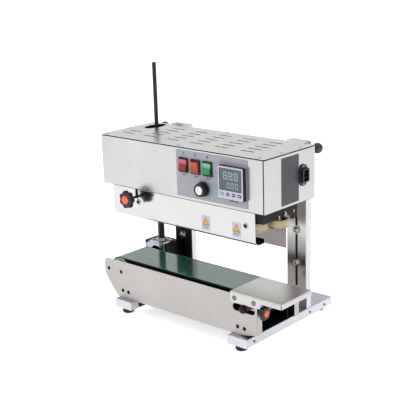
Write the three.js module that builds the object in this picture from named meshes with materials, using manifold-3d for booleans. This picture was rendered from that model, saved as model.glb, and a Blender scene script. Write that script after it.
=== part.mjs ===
// Continuous band sealer: a bag stands on a green conveyor belt while two heated bands under a
// raised head grip its mouth. Millimetres, +X along the machine towards the feed table,
// +Y away from the control panel, +Z up. The machine is laid out from the head's front lower
// left corner at x = 0, y = 0 and the floor at z = 0, and is centred on its footprint at the end.
import * as THREE from 'three'
import { mergeVertices } from 'three/addons/utils/BufferGeometryUtils.js'
import Module from 'manifold-3d'

const wasm = await Module()
wasm.setup()

// ---------- driving dimensions ----------
const GAP = 0.3
const SHEET = 1.5
const HEAD = { length: 494, width: 182, height: 120, bottom: 309 }
HEAD.top = HEAD.bottom + HEAD.height
const FOOT = { radius: 14, height: 13 }
const BEAM = { width: 54, height: 21, front: -39, back: 287 }
BEAM.top = FOOT.height + BEAM.height
const POST_X = [86, 443]
const POST = { width: 54, depth: 17, top: 431 }
const SLIDE = { width: 53, thick: 3, bottom: 74, top: 433, slotWidth: 9, slotBottom: 87, slotTop: 261 }
const BOLT_Z = [146, 224]
const SHAFT = { x: 48.5, y: 141, radius: 5, sleeve: 8.5, top: 587, sleeveTop: 262 }
const CONVEYOR = { left: 13, right: 490, front: -25, back: 127, bottom: BEAM.top + 0.5, top: 127.5 }
const ROLLER = { radius: 28, leftX: SHAFT.x, rightX: 454, shaft: 7.5 }
const BELT = { thick: 2.5, front: -6, back: 88, top: 129 }
ROLLER.z = BELT.top - BELT.thick - GAP - ROLLER.radius
const BRACKET = { x: [2, 75], y: [CONVEYOR.back + GAP, 179], bottom: 62, top: 130, wall: 4, roof: 3 }
const ARCH = { left: 20, right: 68, bottom: 66, shoulder: 104, top: 122, topLeft: 32, topRight: 56 }
const SADDLE = { left: 7, shelf: 124, rise: 26, right: 72, bottom: 113, thick: 3.2, back: 160, plate: 5, boss: 14 }
const TABLE = { left: 419, right: 558, front: -29, back: 80, top: 133.9, deep: 110, shallow: 122 }
const GUARD = { left: 33, right: 468, bottom: 235, bend: 16, flange: 34, lip: 10, corner: 12 }
const REAR_GUARD = { left: 33, right: 477, y: 97, bottom: 209 }
const WHEEL = { leftX: 40, rightX: [455, 475], y: [25, 71], radius: 21.7, low: 267, high: 283 }
const BAND = { thick: 0.8, low: 268, high: 282 }
const AXLE_PLATE = { front: 3, back: 126, low: 287, step: 98, deep: 275, x: [484, 486.5], flangeFrom: 440 }
const JAW = { heater: [300, 372], cooler: [196, 268], half: 16, top: 292 }
const MOTOR = { x: 95, z: 362, radius: 34, from: 132, to: 262, gearX: [96, 136], gearY: [62, 128], gearTop: 400 }
const PANEL = { left: 246, right: 450, low: 316, high: 422, thick: 0.9 }
const ROCKER = { firstX: 269.5, pitch: 35.25, z: 389, width: 28.5, height: 34, holeW: 22.4, holeH: 27.8 }
const SPEED = { x: 327, z: 342, radius: 17, proud: 18 }
const DIGITAL = { left: 376.5, size: 70, low: 333, height: 72, front: -11 }
const BUTTON = { firstX: 388, pitch: 16, z: 344, width: 8.4, height: 6.4, travel: 0.8, proud: 1.2 }
const INLET = { y: 136, z: 369.5, width: 30, height: 48, proud: 9.5 }
const PRESSURE = { x: 112.5, z: 290.5, radius: 21.5, front: -40, stem: 3.5, stemEnd: 30 }
const BALL = { x: [13, 483.5], z: 415, y: 206, radius: 12.5 }
const VENT = { length: 38, width: 4.4, firstX: 120, pitchX: 73.5, firstY: 46, pitchY: 25, rows: 5, columns: 5 }

// ---------- finishes ----------
const finish = (color, metalness, roughness) => new THREE.MeshStandardMaterial({ color, metalness, roughness })
const stainless = () => finish('#c9c8c6', 1, 0.32)
const polished = () => finish('#dedddb', 1, 0.18)
const aluminium = () => finish('#c6c8cc', 1, 0.45)
const steel = () => finish('#b9babb', 1, 0.25)
const blackPaint = () => finish('#17171a', 0, 0.45)
const blackPlastic = () => finish('#101012', 0, 0.3)
const blackRubber = () => finish('#131313', 0, 0.9)
const greenBelt = () => finish('#2c6b52', 0, 0.2)
const brownBand = () => finish('#8b6f4b', 0, 0.5)

// ---------- solids ----------
// A closed geometry as a solid that can be cut and joined.
function solid(geometry) {
  const bare = geometry.clone()
  bare.deleteAttribute('normal')
  bare.deleteAttribute('uv')
  const merged = mergeVertices(bare, 1e-4)
  const mesh = new wasm.Mesh({
    numProp: 3,
    vertProperties: new Float32Array(merged.attributes.position.array),
    triVerts: new Uint32Array(merged.index.array),
  })
  return new wasm.Manifold(mesh)
}

function surface(body) {
  const mesh = body.getMesh()
  const geometry = new THREE.BufferGeometry()
  geometry.setAttribute('position', new THREE.BufferAttribute(mesh.vertProperties, 3))
  geometry.setIndex(new THREE.BufferAttribute(mesh.triVerts, 1))
  geometry.computeVertexNormals()
  return geometry
}

const join = (...pieces) => surface(pieces.map(solid).reduce((a, b) => a.add(b)))
const cut = (piece, ...tools) => surface(tools.map(solid).reduce((a, b) => a.subtract(b), solid(piece)))

// A block between two values on each axis.
function block([x0, x1], [y0, y1], [z0, z1]) {
  const geometry = new THREE.BoxGeometry(x1 - x0, y1 - y0, z1 - z0)
  return geometry.translate((x0 + x1) / 2, (y0 + y1) / 2, (z0 + z1) / 2)
}

// Turned shapes: profile points are [radius, position along the axis].
function turned(axis, [a, b], profile, sides = 24) {
  const geometry = new THREE.LatheGeometry(profile.map(([r, t]) => new THREE.Vector2(r, t)), sides)
  if (axis === 'x') return geometry.rotateZ(-Math.PI / 2).translate(0, a, b)
  if (axis === 'z') return geometry.rotateX(Math.PI / 2).translate(a, b, 0)
  return geometry.translate(a, 0, b)
}

const pin = (axis, centre, radius, from, to, sides = 20) =>
  turned(axis, centre, [[0, from], [radius, from], [radius, to], [0, to]], sides)

// Flat shapes extruded along one axis. The outline is drawn in the other two, in the order X, Y, Z.
const PLANES = {
  x: [new THREE.Vector3(0, 1, 0), new THREE.Vector3(0, 0, 1), new THREE.Vector3(1, 0, 0)],
  y: [new THREE.Vector3(1, 0, 0), new THREE.Vector3(0, 0, 1), new THREE.Vector3(0, -1, 0)],
  z: [new THREE.Vector3(1, 0, 0), new THREE.Vector3(0, 1, 0), new THREE.Vector3(0, 0, 1)],
}

function plate(axis, shape, from, to, curveSegments = 5) {
  const geometry = new THREE.ExtrudeGeometry(shape, { depth: to - from, bevelEnabled: false, curveSegments })
  geometry.applyMatrix4(new THREE.Matrix4().makeBasis(...PLANES[axis]))
  const start = axis === 'y' ? to : from
  return geometry.translate(axis === 'x' ? start : 0, axis === 'y' ? start : 0, axis === 'z' ? start : 0)
}

// An outline through points [a, b] or, with a rounded corner, [a, b, radius].
function outline(points) {
  const shape = new THREE.Shape()
  const at = (i) => new THREE.Vector2(...points[(i + points.length) % points.length].slice(0, 2))
  points.forEach(([, , radius = 0], i) => {
    const here = at(i)
    const before = here.clone().add(at(i - 1).sub(here).setLength(radius))
    const after = here.clone().add(at(i + 1).sub(here).setLength(radius))
    if (i === 0) shape.moveTo(before.x, before.y)
    else shape.lineTo(before.x, before.y)
    if (radius > 0) shape.quadraticCurveTo(here.x, here.y, after.x, after.y)
  })
  shape.closePath()
  return shape
}

const rectangle = (a0, a1, b0, b1, radius = 0) =>
  outline([[a0, b0, radius], [a1, b0, radius], [a1, b1, radius], [a0, b1, radius]])

// A slot with round ends, its length along the outline's first direction.
function slot(a, b, length, width) {
  const shape = new THREE.Shape()
  const half = (length - width) / 2
  shape.absarc(a + half, b, width / 2, -Math.PI / 2, Math.PI / 2)
  shape.absarc(a - half, b, width / 2, Math.PI / 2, Math.PI * 1.5)
  shape.closePath()
  return shape
}

// A loop of band round two round ends, as the shape of its outer edge.
function loop(a0, a1, b, radius) {
  return slot((a0 + a1) / 2, b, a1 - a0 + 2 * radius, 2 * radius)
}

// A hand star: lobes round a circle.
function star(a, b, radius, lobes) {
  const shape = new THREE.Shape()
  const steps = lobes * 6
  for (let i = 0; i < steps; i++) {
    const turn = (i / steps) * Math.PI * 2
    const r = radius * (0.9 + 0.1 * Math.cos(turn * lobes))
    const point = [a + r * Math.cos(turn), b + r * Math.sin(turn)]
    if (i === 0) shape.moveTo(...point)
    else shape.lineTo(...point)
  }
  shape.closePath()
  return shape
}

const machine = new THREE.Group()
const sides = ['left', 'right']

function add(name, geometry, material) {
  const mesh = new THREE.Mesh(geometry, material)
  mesh.name = name
  machine.add(mesh)
}

// ---------- base: two beams on rubber feet ----------
sides.forEach((side, i) => {
  const [x0, x1] = [POST_X[i] - BEAM.width / 2, POST_X[i] + BEAM.width / 2]
  const section = rectangle(x0, x1, FOOT.height, BEAM.top, 2)
  add(`base_beam_${side}`, plate('y', section, BEAM.front, BEAM.back, 2), aluminium())
  const inset = 17
  const ends = { front: BEAM.front + inset, rear: BEAM.back - inset }
  for (const [end, y] of Object.entries(ends)) {
    const top = FOOT.height - GAP
    const profile = [[0, 0], [FOOT.radius - 2, 0], [FOOT.radius, 2], [FOOT.radius, top], [0, top]]
    add(`foot_${end}_${side}`, turned('z', [POST_X[i], y], profile), blackRubber())
  }
})

// ---------- posts: tubes, the head's slotted slide plates and the bolts that clamp them ----------
const slideFront = HEAD.width + GAP
const tubeFront = slideFront + SLIDE.thick + GAP
sides.forEach((side, i) => {
  const x = POST_X[i]
  const half = POST.width / 2
  const tube = rectangle(x - half, x + half, tubeFront, tubeFront + POST.depth, 1.5)
  add(`post_tube_${side}`, plate('z', tube, BEAM.top + GAP, POST.top, 2), aluminium())

  const width = SLIDE.width / 2
  const middle = (SLIDE.slotTop + SLIDE.slotBottom) / 2
  const plateSolid = block([x - width, x + width], [slideFront, slideFront + SLIDE.thick], [SLIDE.bottom, SLIDE.top])
  const slotHalf = SLIDE.slotWidth / 2
  const end = SLIDE.slotTop - middle - slotHalf
  const slotSolid = join(
    block([x - slotHalf, x + slotHalf], [slideFront - 1, slideFront + 5], [middle - end, middle + end]),
    pin('y', [x, middle - end], slotHalf, slideFront - 1, slideFront + 5, 12),
    pin('y', [x, middle + end], slotHalf, slideFront - 1, slideFront + 5, 12))
  add(`slide_plate_${side}`, cut(plateSolid, slotSolid), polished())

  BOLT_Z.forEach((z, k) => {
    const face = slideFront - GAP
    const profile = [[0, face - 7], [4.5, face - 6.2], [7.5, face - 3.4], [8.4, face - 1.2],
      [10.5, face - 1.2], [10.5, face], [3.8, face], [3.8, tubeFront - GAP], [0, tubeFront - GAP]]
    add(`post_bolt_${side}_${k ? 'upper' : 'lower'}`, turned('y', [x, z], profile, 16), steel())
  })
})

// ---------- conveyor ----------
function slotAcross(y0, y1) {
  const centre = (422 + 484) / 2
  return plate('y', slot(centre, ROLLER.z, 62, 2 * ROLLER.shaft + 2), y0, y1, 6)
}

const plateEnd = CONVEYOR.right - SHEET
const flangeWidth = 17
const screwHole = 3.4
const screwY = { front: CONVEYOR.front + 8.5, rear: CONVEYOR.back - 8.5 }

function sidePlate(y0, y1, top, flangeFrom, flangeTo, screwAt) {
  const sheet = plate('y', outline([
    [CONVEYOR.left, top, 18], [CONVEYOR.left, 85], [CONVEYOR.left + 42, CONVEYOR.bottom, 5],
    [440, CONVEYOR.bottom, 8], [CONVEYOR.right, 44], [CONVEYOR.right, top]]), y0, y1)
  const flange = block([plateEnd, CONVEYOR.right], [flangeFrom, flangeTo], [44, top - 8])
  const hole = pin('x', [screwAt, ROLLER.z], screwHole, plateEnd - 1, CONVEYOR.right + 1, 12)
  return [join(sheet, flange), hole]
}

const [frontSheet, frontHole] = sidePlate(CONVEYOR.front, CONVEYOR.front + SHEET, CONVEYOR.top,
  CONVEYOR.front, CONVEYOR.front + flangeWidth, screwY.front)
add('conveyor_front_plate',
  cut(frontSheet, frontHole, slotAcross(CONVEYOR.front - 1, CONVEYOR.front + 3)), stainless())

const rearTop = 112
const bevel = { apexY: SHAFT.y, large: 12.5, small: 7, clear: 0.9 }
const [rearSheet, rearHole] = sidePlate(CONVEYOR.back - SHEET, CONVEYOR.back, rearTop,
  CONVEYOR.back - flangeWidth, CONVEYOR.back, screwY.rear)
add('conveyor_rear_plate',
  cut(rearSheet, rearHole, slotAcross(CONVEYOR.back - 3, CONVEYOR.back + 1),
    pin('y', [ROLLER.leftX, ROLLER.z], ROLLER.shaft + 1, CONVEYOR.back - 3, CONVEYOR.back + 1)), stainless())

const innerY = [91, 93]
const innerSheet = plate('y', rectangle(60, 484, 44, 124, 6), ...innerY)
add('conveyor_inner_plate',
  cut(join(innerSheet, plate('y', loop(ROLLER.leftX, 120, ROLLER.z, 24), ...innerY)),
    slotAcross(innerY[0] - 1, innerY[1] + 1),
    pin('y', [ROLLER.leftX, ROLLER.z], ROLLER.shaft + 1, innerY[0] - 1, innerY[1] + 1)), blackPaint())

const bedTop = BELT.top - BELT.thick - GAP
add('belt_bed', block([82, 420], [BELT.front + 1, BELT.back - 1], [bedTop - 5, bedTop]), stainless())

const beltInner = ROLLER.radius + GAP
const beltOuter = plate('y', loop(ROLLER.leftX, ROLLER.rightX, ROLLER.z, beltInner + BELT.thick),
  BELT.front, BELT.back, 12)
const beltHole = plate('y', loop(ROLLER.leftX, ROLLER.rightX, ROLLER.z, beltInner),
  BELT.front - 1, BELT.back + 1, 12)
add('conveyor_belt', cut(beltOuter, beltHole), greenBelt())

const drum = [BELT.front + 1, BELT.back - 1]
const bevelBack = bevel.apexY - bevel.large - bevel.clear
add('drive_roller', turned('y', [ROLLER.leftX, ROLLER.z], [
  [0, CONVEYOR.front + SHEET + GAP], [ROLLER.shaft, CONVEYOR.front + SHEET + GAP], [ROLLER.shaft, drum[0]],
  [ROLLER.radius, drum[0]], [ROLLER.radius, drum[1]], [ROLLER.shaft, drum[1]],
  [ROLLER.shaft, bevelBack - GAP], [0, bevelBack - GAP]]), steel())

add('idler_roller', turned('y', [ROLLER.rightX, ROLLER.z], [
  [0, CONVEYOR.front - 12], [6, CONVEYOR.front - 10.5], [8.6, CONVEYOR.front - 7], [9.4, CONVEYOR.front - 1.5],
  [9.4, CONVEYOR.front - 0.5], [ROLLER.shaft, CONVEYOR.front - 0.5], [ROLLER.shaft, drum[0]],
  [ROLLER.radius, drum[0]], [ROLLER.radius, drum[1]], [ROLLER.shaft, drum[1]],
  [ROLLER.shaft, CONVEYOR.back + 6], [0, CONVEYOR.back + 6]]), steel())

for (const [end, y] of Object.entries(screwY)) {
  const head = plate('x', star(y, ROLLER.z, 15.5, 6), CONVEYOR.right + 7, CONVEYOR.right + 19)
  const stem = pin('x', [y, ROLLER.z], 3, ROLLER.rightX + ROLLER.shaft + 0.5, CONVEYOR.right + 8, 12)
  const hub = pin('x', [y, ROLLER.z], 7, CONVEYOR.right + 1.5, CONVEYOR.right + 8, 12)
  const cap = pin('x', [y, ROLLER.z], 8.5, CONVEYOR.right + 18, CONVEYOR.right + 20.5, 16)
  add(`tension_knob_${end}`, join(head, stem, hub, cap), blackPlastic())
}

// ---------- feed table over the idler end ----------
const tableUnder = TABLE.top - SHEET
const skirt = plate('y', outline([[TABLE.left, TABLE.top], [TABLE.left, TABLE.deep], [501, TABLE.deep, 2],
  [503, TABLE.shallow, 3], [TABLE.right, TABLE.shallow], [TABLE.right, TABLE.top]]), TABLE.front, TABLE.front + SHEET)
add('table_plate', join(
  block([TABLE.left, TABLE.right], [TABLE.front, TABLE.back], [tableUnder, TABLE.top]),
  skirt,
  block([TABLE.right - SHEET, TABLE.right], [TABLE.front, TABLE.back], [TABLE.shallow, TABLE.top])), stainless())

// ---------- drive shaft, bevel gears and their bracket ----------
const shaftFoot = ROLLER.z + bevel.small + bevel.clear
add('drive_shaft', turned('z', [SHAFT.x, SHAFT.y], [
  [0, shaftFoot + 6.2], [SHAFT.sleeve, shaftFoot + 6.2], [SHAFT.sleeve, SHAFT.sleeveTop],
  [SHAFT.radius, SHAFT.sleeveTop + 3], [SHAFT.radius, SHAFT.top - 1], [SHAFT.radius - 1, SHAFT.top],
  [0, SHAFT.top]], 20), blackPaint())
const cone = (from, direction) => [[0, from], [bevel.small, from],
  [bevel.large, from + direction * (bevel.large - bevel.small)], [0, from + direction * (bevel.large - bevel.small)]]
add('bevel_gear_shaft', turned('z', [SHAFT.x, SHAFT.y], cone(shaftFoot, 1)), steel())
add('bevel_gear_roller',
  turned('y', [ROLLER.leftX, ROLLER.z], cone(bevel.apexY - bevel.small - bevel.clear, -1).reverse()), steel())

const archShape = outline([[ARCH.left, ARCH.shoulder, 11], [ARCH.left, ARCH.bottom],
  [ARCH.right, ARCH.bottom], [ARCH.right, ARCH.shoulder, 11],
  [ARCH.topRight, ARCH.top, 10], [ARCH.topLeft, ARCH.top, 10]])
const arch = plate('y', archShape, BRACKET.y[0] - 5, BRACKET.y[1] - 9)
const shaftBore = (clear, from, to) => pin('z', [SHAFT.x, SHAFT.y], SHAFT.sleeve + clear, from, to)
add('gearbox_bracket', cut(
  block(BRACKET.x, BRACKET.y, [BRACKET.bottom, BRACKET.top]),
  block([BRACKET.x[0] + BRACKET.wall, BRACKET.x[1] - BRACKET.wall],
    [BRACKET.y[0] + 2, BRACKET.y[1] - BRACKET.roof], [BRACKET.bottom - 1, BRACKET.top - BRACKET.roof]),
  arch,
  shaftBore(1, BRACKET.top - 5, BRACKET.top + 1)), blackPaint())

const saddleTop = BRACKET.top + SADDLE.plate
const saddleFront = BRACKET.y[0] - GAP - SADDLE.thick
const saddlePlate = plate('z', rectangle(SADDLE.rise, SADDLE.right, saddleFront, SADDLE.back, 3),
  BRACKET.top + GAP, saddleTop)
const saddleApron = plate('y', outline([[SADDLE.left, SADDLE.bottom], [SADDLE.right, SADDLE.bottom],
  [SADDLE.right, saddleTop], [SADDLE.rise, saddleTop, 3], [SADDLE.left + 4, SADDLE.shelf, 3],
  [SADDLE.left, SADDLE.shelf, 1]]), saddleFront, BRACKET.y[0] - GAP)
const boss = turned('z', [SHAFT.x, SHAFT.y], [[0, saddleTop - 1], [SADDLE.boss, saddleTop - 1],
  [SADDLE.boss - 2, saddleTop + 7], [0, saddleTop + 7]])
add('bearing_housing', cut(join(saddlePlate, saddleApron, boss), arch,
  shaftBore(0.5, BRACKET.top - 1, saddleTop + 9)), polished())

// ---------- head: casing, vented cover ----------
const rockers = [0, 1, 2].map((i) => ROCKER.firstX + i * ROCKER.pitch)
const rockerHoles = (y0, y1) => rockers.map((x) => block(
  [x - ROCKER.holeW / 2, x + ROCKER.holeW / 2], [y0, y1], [ROCKER.z - ROCKER.holeH / 2, ROCKER.z + ROCKER.holeH / 2]))
const casingTop = HEAD.top - SHEET - GAP
add('head_casing', cut(
  block([0, HEAD.length], [0, HEAD.width], [HEAD.bottom, casingTop]),
  block([SHEET, HEAD.length - SHEET], [SHEET, HEAD.width - SHEET], [HEAD.bottom + 2, casingTop + 1]),
  ...rockerHoles(-1, 3),
  pin('z', [SHAFT.x, SHAFT.y], 15, HEAD.bottom - 1, HEAD.bottom + 3)), stainless())

const vents = []
for (let row = 0; row < VENT.rows; row++) {
  for (let column = row < 2 ? -1 : 0; column < VENT.columns; column++) {
    vents.push(slot(VENT.firstX + column * VENT.pitchX, VENT.firstY + row * VENT.pitchY, VENT.length, VENT.width))
  }
}
const oval = new THREE.Shape().absellipse(SHAFT.x - 5, SHAFT.y, 18, 33, 0, Math.PI * 2)
const coverShape = rectangle(0, HEAD.length, 0, HEAD.width)
coverShape.holes.push(...vents)
const coverSheet = plate('z', coverShape, HEAD.top - SHEET, HEAD.top, 3)
add('head_cover', cut(coverSheet, plate('z', oval, HEAD.top - 3, HEAD.top + 1, 20)), polished())

// ---------- guards round the sealing bands ----------
const under = HEAD.bottom - GAP
const { left, right, bottom, bend, flange, lip, corner } = GUARD
const guardSection = outline([[0, under], [0, bottom, bend], [flange, bottom, 3], [flange, bottom + lip],
  [flange - SHEET, bottom + lip], [flange - SHEET, bottom + SHEET, 2], [SHEET, bottom + SHEET, bend - SHEET],
  [SHEET, under]])
const cornerCut = cut(
  block([left - 1, left + corner], [-1, bend + 1], [bottom - 1, bottom + corner]),
  pin('y', [left + corner, bottom + corner], corner, -2, bend + 2, 24))
const stemSlot = PRESSURE.stem + 1
add('front_guard', cut(plate('x', guardSection, left, right, 12),
  cornerCut,
  block([left - 1, left + corner], [bend, flange + 1], [bottom - 1, bottom + corner]),
  block([PRESSURE.x - stemSlot, PRESSURE.x + stemSlot], [-1, 3], [PRESSURE.z - stemSlot, under + 1])), stainless())
add('rear_guard', block([REAR_GUARD.left, REAR_GUARD.right], [REAR_GUARD.y, REAR_GUARD.y + SHEET],
  [REAR_GUARD.bottom, under]), stainless())
const axleSection = outline([[AXLE_PLATE.front, under], [AXLE_PLATE.front, AXLE_PLATE.low],
  [AXLE_PLATE.step, AXLE_PLATE.low, 4], [AXLE_PLATE.step + 6, AXLE_PLATE.deep, 4],
  [AXLE_PLATE.back, AXLE_PLATE.deep, 3], [AXLE_PLATE.back, under]])
add('end_bracket', join(
  plate('x', axleSection, ...AXLE_PLATE.x),
  block([AXLE_PLATE.flangeFrom, AXLE_PLATE.x[0] + 1], [AXLE_PLATE.front, AXLE_PLATE.front + 2.5],
    [AXLE_PLATE.low + 1, under])), blackPaint())

// ---------- sealing bands, their wheels, heater and cooler ----------
const bandRadius = WHEEL.radius + GAP
for (const [k, row] of ['front', 'rear'].entries()) {
  const y = WHEEL.y[k]
  const rightX = WHEEL.rightX[k]
  sides.forEach((side, i) => {
    const x = i ? rightX : WHEEL.leftX
    const { low, high, radius } = WHEEL
    add(`seal_wheel_${row}_${side}`, turned('z', [x, y], [
      [0, low - 3], [5, low - 3], [5, low], [radius - 3, low], [radius, low + 0.6], [radius, high - 0.6],
      [radius - 3, high], [6, high], [6, under - 0.4], [0, under - 0.4]]), brownBand())
  })
  const outer = plate('z', loop(WHEEL.leftX, rightX, y, bandRadius + BAND.thick), BAND.low, BAND.high, 12)
  const inner = plate('z', loop(WHEEL.leftX, rightX, y, bandRadius), BAND.low - 1, BAND.high + 1, 12)
  add(`seal_band_${row}`, cut(outer, inner), brownBand())
}

// A block with a jaw on each side of the bands' meeting line, hung from the head's floor.
function jaws([x0, x1]) {
  const middle = (WHEEL.y[0] + WHEEL.y[1]) / 2
  const reach = middle - WHEEL.y[0] - bandRadius + GAP
  return cut(block([x0, x1], [middle - JAW.half, middle + JAW.half], [BAND.low - 1, under]),
    block([x0 - 1, x1 + 1], [middle - reach, middle + reach], [BAND.low - 2, JAW.top]))
}
add('heater_block', jaws(JAW.heater), finish('#b08d57', 1, 0.4))
add('cooling_block', jaws(JAW.cooler), aluminium())

add('drive_motor', join(
  pin('x', [MOTOR.x, MOTOR.z], MOTOR.radius, MOTOR.from, MOTOR.to, 24),
  block(MOTOR.gearX, MOTOR.gearY, [HEAD.bottom + 2 + GAP, MOTOR.gearTop])), blackPaint())

// ---------- control panel ----------
const panelBack = -GAP
const panelFront = panelBack - PANEL.thick
add('control_panel', cut(
  block([PANEL.left, PANEL.right], [panelFront, panelBack], [PANEL.low, PANEL.high]),
  ...rockerHoles(-3, 1)), finish('#a9a9b2', 0, 0.6))

const bezelBack = panelFront - GAP
const rockerColors = { red: '#c8202a', orange: '#d9541e', green: '#1d9a4a' }
Object.entries(rockerColors).forEach(([name, color], i) => {
  const x = rockers[i]
  const [w, h] = [ROCKER.width / 2, ROCKER.height / 2]
  const frame = rectangle(x - w, x + w, ROCKER.z - h, ROCKER.z + h, 2)
  frame.holes.push(rectangle(x - ROCKER.holeW / 2, x + ROCKER.holeW / 2,
    ROCKER.z - ROCKER.holeH / 2, ROCKER.z + ROCKER.holeH / 2))
  add(`rocker_bezel_${name}`, plate('y', frame, bezelBack - 2.5, bezelBack), blackPlastic())
  const tilt = THREE.MathUtils.degToRad(name === 'orange' ? 8 : -8)
  const section = outline([[-7.5, 12.4, 1], [2, 12.4], [2, -12.4], [-7.5, -12.4, 1], [-5, 0, 4]])
  const key = plate('x', section, -10.6, 10.6).rotateX(tilt).translate(x, bezelBack, ROCKER.z)
  add(`rocker_${name}`, key, finish(color, 0, 0.25))
})

add('speed_knob', turned('y', [SPEED.x, SPEED.z], [
  [0, panelFront - SPEED.proud], [8, panelFront - SPEED.proud], [8.6, panelFront - SPEED.proud + 1],
  [14, panelFront - SPEED.proud + 1], [15, panelFront - SPEED.proud + 2.5], [SPEED.radius, panelFront - 4],
  [SPEED.radius, panelFront - 0.8], [0, panelFront - 0.8]]), blackPlastic())

const buttonX = [0, 1, 2, 3].map((i) => BUTTON.firstX + i * BUTTON.pitch)
const socket = 0.35
const wells = buttonX.map((x) => block(
  [x - BUTTON.width / 2 - socket, x + BUTTON.width / 2 + socket], [DIGITAL.front - 1, DIGITAL.front + 5],
  [BUTTON.z - BUTTON.height / 2 - socket, BUTTON.z + BUTTON.height / 2 + socket]))
add('temperature_controller', cut(
  block([DIGITAL.left, DIGITAL.left + DIGITAL.size], [DIGITAL.front, panelFront - GAP],
    [DIGITAL.low, DIGITAL.low + DIGITAL.height]),
  block([DIGITAL.left + 4, DIGITAL.left + DIGITAL.size - 4], [DIGITAL.front - 1, DIGITAL.front + 1.2],
    [DIGITAL.low + 19, DIGITAL.low + DIGITAL.height - 5]),
  ...wells), blackPlastic())
buttonX.forEach((x, i) => {
  add(`button_${i + 1}`, block([x - BUTTON.width / 2, x + BUTTON.width / 2],
    [DIGITAL.front - BUTTON.proud, DIGITAL.front + 5 - BUTTON.travel - 0.5],
    [BUTTON.z - BUTTON.height / 2, BUTTON.z + BUTTON.height / 2]), finish(i ? '#3a4148' : '#2f9a57', 0, 0.5))
})

// ---------- mains inlet on the end face ----------
const inletX = HEAD.length + GAP
const [iw, ih] = [INLET.width / 2, INLET.height / 2]
const inletFlange = plate('x', outline([
  [INLET.y - iw, INLET.z - 14, 2], [INLET.y - 6, INLET.z - ih, 3], [INLET.y + 6, INLET.z - ih, 3],
  [INLET.y + iw, INLET.z - 14, 2], [INLET.y + iw, INLET.z + 14, 2], [INLET.y + 6, INLET.z + ih, 3],
  [INLET.y - 6, INLET.z + ih, 3], [INLET.y - iw, INLET.z + 14, 2]]), inletX, inletX + 3)
const shroud = plate('x', rectangle(INLET.y - 12, INLET.y + 12, INLET.z - 15, INLET.z + 15, 3), inletX, inletX + INLET.proud)
const cavity = plate('x', rectangle(INLET.y - 8.2, INLET.y + 8.2, INLET.z - 12, INLET.z + 12, 3),
  inletX + 1, inletX + INLET.proud + 1)
add('power_inlet', cut(join(inletFlange, shroud), cavity), blackPlastic())

// ---------- hand knobs ----------
const knobFace = PRESSURE.front + 2
add('pressure_knob', join(
  plate('y', star(PRESSURE.x, PRESSURE.z, PRESSURE.radius, 7), knobFace, knobFace + 12),
  pin('y', [PRESSURE.x, PRESSURE.z], 10, PRESSURE.front, knobFace + 1),
  pin('y', [PRESSURE.x, PRESSURE.z], 9, knobFace + 11, knobFace + 16),
  pin('y', [PRESSURE.x, PRESSURE.z], PRESSURE.stem, knobFace + 11, PRESSURE.stemEnd, 14)), blackPlastic())

sides.forEach((side, i) => {
  const start = HEAD.width + GAP
  const profile = [[0, start], [7, start], [5, start + 5], [4, BALL.y - BALL.radius + 1]]
  for (let step = 1; step <= 10; step++) {
    const turn = Math.PI * (1 - (1 - 0.1) * step / 10 - 0.1)
    profile.push([BALL.radius * Math.sin(turn), BALL.y + BALL.radius * Math.cos(turn)])
  }
  profile[profile.length - 1] = [0, BALL.y + BALL.radius]
  add(`ball_knob_${side}`, turned('y', [BALL.x[i], BALL.z], profile, 20), blackPlastic())
})

// The origin is the middle of the footprint, on the floor.
const extent = new THREE.Box3().setFromObject(machine)
machine.position.set(-(extent.min.x + extent.max.x) / 2, -(extent.min.y + extent.max.y) / 2, -extent.min.z)

export default machine
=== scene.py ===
import bmesh
import bpy
import numpy as np
from mathutils import Matrix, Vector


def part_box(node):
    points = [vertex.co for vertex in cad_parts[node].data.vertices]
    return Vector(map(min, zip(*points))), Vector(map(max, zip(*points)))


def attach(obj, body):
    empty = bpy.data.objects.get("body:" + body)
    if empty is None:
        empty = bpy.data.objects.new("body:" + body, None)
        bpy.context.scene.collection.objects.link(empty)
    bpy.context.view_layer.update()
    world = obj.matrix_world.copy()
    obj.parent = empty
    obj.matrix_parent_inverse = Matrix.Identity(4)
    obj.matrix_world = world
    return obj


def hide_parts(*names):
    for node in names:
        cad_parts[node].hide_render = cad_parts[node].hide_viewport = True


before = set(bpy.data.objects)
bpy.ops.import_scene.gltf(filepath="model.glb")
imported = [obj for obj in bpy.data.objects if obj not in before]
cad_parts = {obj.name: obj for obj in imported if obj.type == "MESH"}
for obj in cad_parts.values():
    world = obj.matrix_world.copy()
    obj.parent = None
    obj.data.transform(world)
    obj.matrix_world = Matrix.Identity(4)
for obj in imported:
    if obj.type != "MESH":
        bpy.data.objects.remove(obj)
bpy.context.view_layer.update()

scene = bpy.context.scene
scene.view_settings.view_transform = "Standard"

# --- viewpoint ---
# The viewer stands ahead of the machine's right-hand corner, about two metres off, and looks
# slightly down on the cover. The lens is a short telephoto.
AZIMUTH, ELEVATION, ROLL = np.radians([41.76, 15.97, -1.7])
LENS_MM, STANDPOINT = 79.65, (1.35385, -1.57566, 0.8571)


def posed(name, data, side, up, back, place):
    """A camera or lamp that looks away from its back, with its place in metres."""
    holder = bpy.data.objects.new(name, data)
    pose = np.eye(4)
    pose[:3] = np.column_stack([side, up, back, place])
    holder.matrix_world = Matrix(pose.tolist())
    scene.collection.objects.link(holder)
    return holder


viewer = bpy.data.cameras.new("viewer")
viewer.lens = LENS_MM
back = np.array([np.sin(AZIMUTH) * np.cos(ELEVATION), -np.cos(AZIMUTH) * np.cos(ELEVATION),
                 np.sin(ELEVATION)])
right = np.cross(-back, [0, 0, 1])
right /= np.linalg.norm(right)
up = np.cross(right, -back)
right, up = (np.cos(ROLL) * right + np.sin(ROLL) * up, np.cos(ROLL) * up - np.sin(ROLL) * right)
scene.camera = posed("viewer", viewer, right, up, back, STANDPOINT)


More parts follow.
